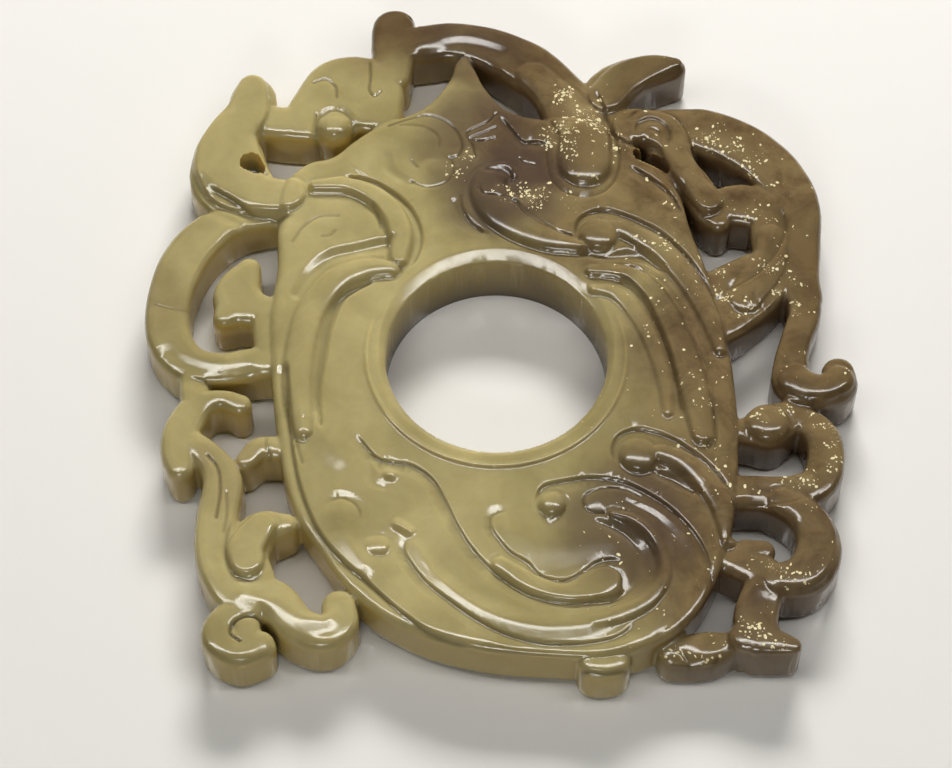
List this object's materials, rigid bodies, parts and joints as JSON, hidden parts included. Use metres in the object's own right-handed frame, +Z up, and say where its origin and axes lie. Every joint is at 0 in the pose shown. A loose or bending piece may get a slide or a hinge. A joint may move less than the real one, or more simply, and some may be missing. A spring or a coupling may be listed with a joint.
{
  "type": "openwork jade pendant",
  "caption": "Heart-shaped openwork pendant of carved nephrite, with a round central hole and curling limbs around a scrolled plate. It lies flat on its back.",
  "frame": {"origin": "middle of the piece's box, on the surface that it lies on", "axes": "+Z up out of the carved face, +Y along the length towards the crest, +X to the right of the carved face"},
  "size_m": [0.072, 0.0796, 0.0074],
  "materials": {
    "nephrite": "polished, mottled olive to brown, slightly translucent"
  },
  "bodies": {
    "root": {"jade_pendant": "nephrite"}
  },
  "joints": []
}
